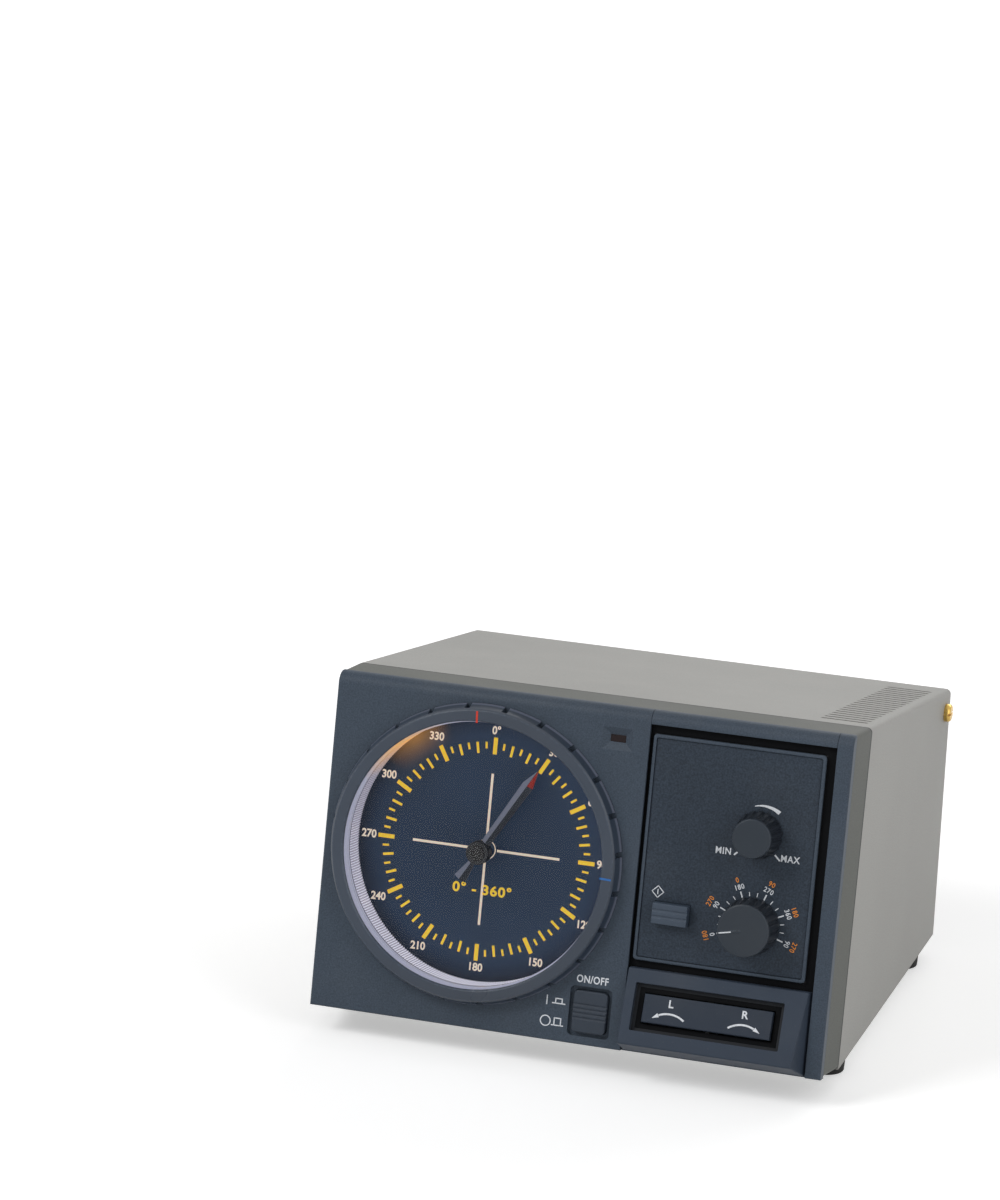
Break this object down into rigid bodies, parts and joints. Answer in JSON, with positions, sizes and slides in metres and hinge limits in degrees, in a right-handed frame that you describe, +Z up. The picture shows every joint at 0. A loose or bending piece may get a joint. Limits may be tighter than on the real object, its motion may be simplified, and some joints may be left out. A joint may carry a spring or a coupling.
{
  "type": "antenna rotator controller",
  "caption": "Desk-top controller for an antenna rotator: wedge-shaped metal case, leaning front with a large azimuth dial, turning ring, two knobs, push buttons and a left/right rocker.",
  "frame": {"origin": "on the desk, under the middle of the controller's outer box", "axes": "+Z up, +X to the right of someone facing the dial, the dial faces -Y (leaning back 9 degrees) and the sockets face +Y"},
  "size_m": [0.2052, 0.2176, 0.1367],
  "materials": {
    "cover_paint": "fine textured, warm light grey",
    "sheet_zinc": "zinc plated",
    "panel_paint": "satin, dark grey",
    "front_plastic": "fine matt, dark blue-grey",
    "surround_plastic": "matt, olive grey",
    "plate_plastic": "fine grained, blue-black",
    "key_plastic": "satin black",
    "dial_print": "printed, dark blue",
    "needle_plastic": "satin, two tone with a red tip",
    "lens_clear": "clear, polished",
    "light_guide": "clear, ribbed",
    "lamp_glass": "warm, frosted",
    "red_window": "dark red, translucent",
    "gear_brass": "machined",
    "shaft_steel": "ground",
    "screw_steel": "zinc plated",
    "can_steel": "plain",
    "core_steel": "varnished laminations",
    "coil_tape": "yellow tape",
    "board_laminate": "green resist",
    "can_sleeve": "shrunk sleeve",
    "sink_aluminium": "black anodised",
    "package_black": "moulded",
    "foot_rubber": "matt black",
    "socket_plastic": "black",
    "adjuster_white": "white"
  },
  "bodies": {
    "case": {"front_panel": "front_plastic", "overlap_window": "red_window", "control_insert": "front_plastic", "control_plate": "plate_plastic", "dial_lens": "lens_clear", "light_ring": "light_guide", "dial_face": "dial_print", "gearbox_front_plate": "sheet_zinc", "gearbox_back_plate": "sheet_zinc", "gearbox_posts": "shaft_steel", "indicator_motor": "can_steel", "feedback_pot": "can_steel", "indicator_lamps": "lamp_glass", "power_switch": "package_black", "speed_pot": "can_steel", "preset_pot": "can_steel", "pot_nuts": "screw_steel", "tact_switches": "package_black", "rocker_bezel": "front_plastic", "rocker_pin": "shaft_steel", "control_board": "board_laminate", "front_surround": "surround_plastic", "top_cover": "cover_paint", "bottom_chassis": "sheet_zinc", "rear_panel": "panel_paint", "rubber_feet": "foot_rubber", "cover_screws": "gear_brass", "pan_head_screws": "screw_steel", "transformer_core": "core_steel", "transformer_coil": "coil_tape", "transformer_strap": "sheet_zinc", "main_board": "board_laminate", "filter_capacitors": "can_sleeve", "heat_sink": "sink_aluminium", "power_transistors": "package_black", "rotator_socket": "socket_plastic", "control_jack": "socket_plastic", "fuse_holder": "socket_plastic", "cord_gland": "foot_rubber", "ground_stud": "screw_steel", "ground_nut": "screw_steel", "trimmer_bodies": "package_black"},
    "dial_bezel": {"bezel_ring": "key_plastic"},
    "pointer_unit": {"pointer": "needle_plastic", "pointer_cap": "needle_plastic", "pointer_shaft": "shaft_steel", "pointer_gear": "gear_brass"},
    "motor_output": {"motor_pinion": "gear_brass"},
    "feedback_input": {"feedback_gear": "gear_brass"},
    "power_key": {"power_button": "key_plastic"},
    "start_key": {"start_button": "key_plastic"},
    "direction_rocker": {"rocker_plate": "key_plastic"},
    "speed_control": {"speed_knob": "key_plastic", "speed_spindle": "shaft_steel"},
    "preset_control": {"preset_knob": "key_plastic", "preset_spindle": "shaft_steel"},
    "fuse_cover": {"fuse_cap": "socket_plastic"},
    "scale_adjuster": {"scale_trimmer": "adjuster_white"},
    "output_adjuster": {"output_trimmer": "adjuster_white"}
  },
  "joints": [
    {"name": "bezel_turn", "type": "hinge", "parent": "case", "child": "dial_bezel", "pos_m": [-0.0395, -0.09141, 0.07616], "axis": [0, 0.9877, -0.1564], "continuous": true},
    {"name": "pointer_turn", "type": "hinge", "parent": "case", "child": "pointer_unit", "pos_m": [-0.0395, -0.07274, 0.0732], "axis": [0, 0.9877, -0.1564], "range_deg": [-31, 419]},
    {"name": "motor_turn", "type": "hinge", "parent": "case", "child": "motor_output", "pos_m": [-0.0395, -0.07675, 0.04791], "axis": [0, 0.9877, -0.1564], "range_deg": [-1257, 93]},
    {"name": "feedback_turn", "type": "hinge", "parent": "case", "child": "feedback_input", "pos_m": [-0.07041, -0.07144, 0.08138], "axis": [0, 0.9877, -0.1564], "range_deg": [-628.5, 46.5]},
    {"name": "power_press", "type": "slide", "parent": "case", "child": "power_key", "axis": [0, 0.9877, -0.1564], "range_m": [0, 0.0025], "stiffness_N_per_m": 300, "springref_m": -0.003},
    {"name": "start_press", "type": "slide", "parent": "case", "child": "start_key", "axis": [0, 0.9877, -0.1564], "range_m": [0, 0.0015], "stiffness_N_per_m": 300, "springref_m": -0.002},
    {"name": "rocker_tilt", "type": "hinge", "parent": "case", "child": "direction_rocker", "pos_m": [0.0552, -0.09794, 0.02782], "axis": [0, 0.4116, 0.9113], "range_deg": [-3, 3], "stiffness_Nm_per_rad": 0.3},
    {"name": "speed_turn", "type": "hinge", "parent": "case", "child": "speed_control", "pos_m": [0.067, -0.08806, 0.09729], "axis": [0, 0.9877, -0.1564], "range_deg": [-135, 135]},
    {"name": "preset_turn", "type": "hinge", "parent": "case", "child": "preset_control", "pos_m": [0.0672, -0.09338, 0.06371], "axis": [0, 0.9877, -0.1564], "range_deg": [-48, 252]},
    {"name": "fuse_turn", "type": "hinge", "parent": "case", "child": "fuse_cover", "pos_m": [0.03, 0.09288, 0.045], "axis": [0, 1, 0], "range_deg": [0, 45]},
    {"name": "scale_turn", "type": "hinge", "parent": "case", "child": "scale_adjuster", "pos_m": [0.012, 0.06968, 0.01955], "axis": [0, 1, 0], "range_deg": [-135, 135]},
    {"name": "output_turn", "type": "hinge", "parent": "case", "child": "output_adjuster", "pos_m": [0.024, 0.06968, 0.01955], "axis": [0, 1, 0], "range_deg": [-135, 135]}
  ],
  "couplings": [
    {"joint": "motor_turn", "follows": "pointer_turn", "ratio": -3},
    {"joint": "feedback_turn", "follows": "pointer_turn", "ratio": -1.5}
  ]
}
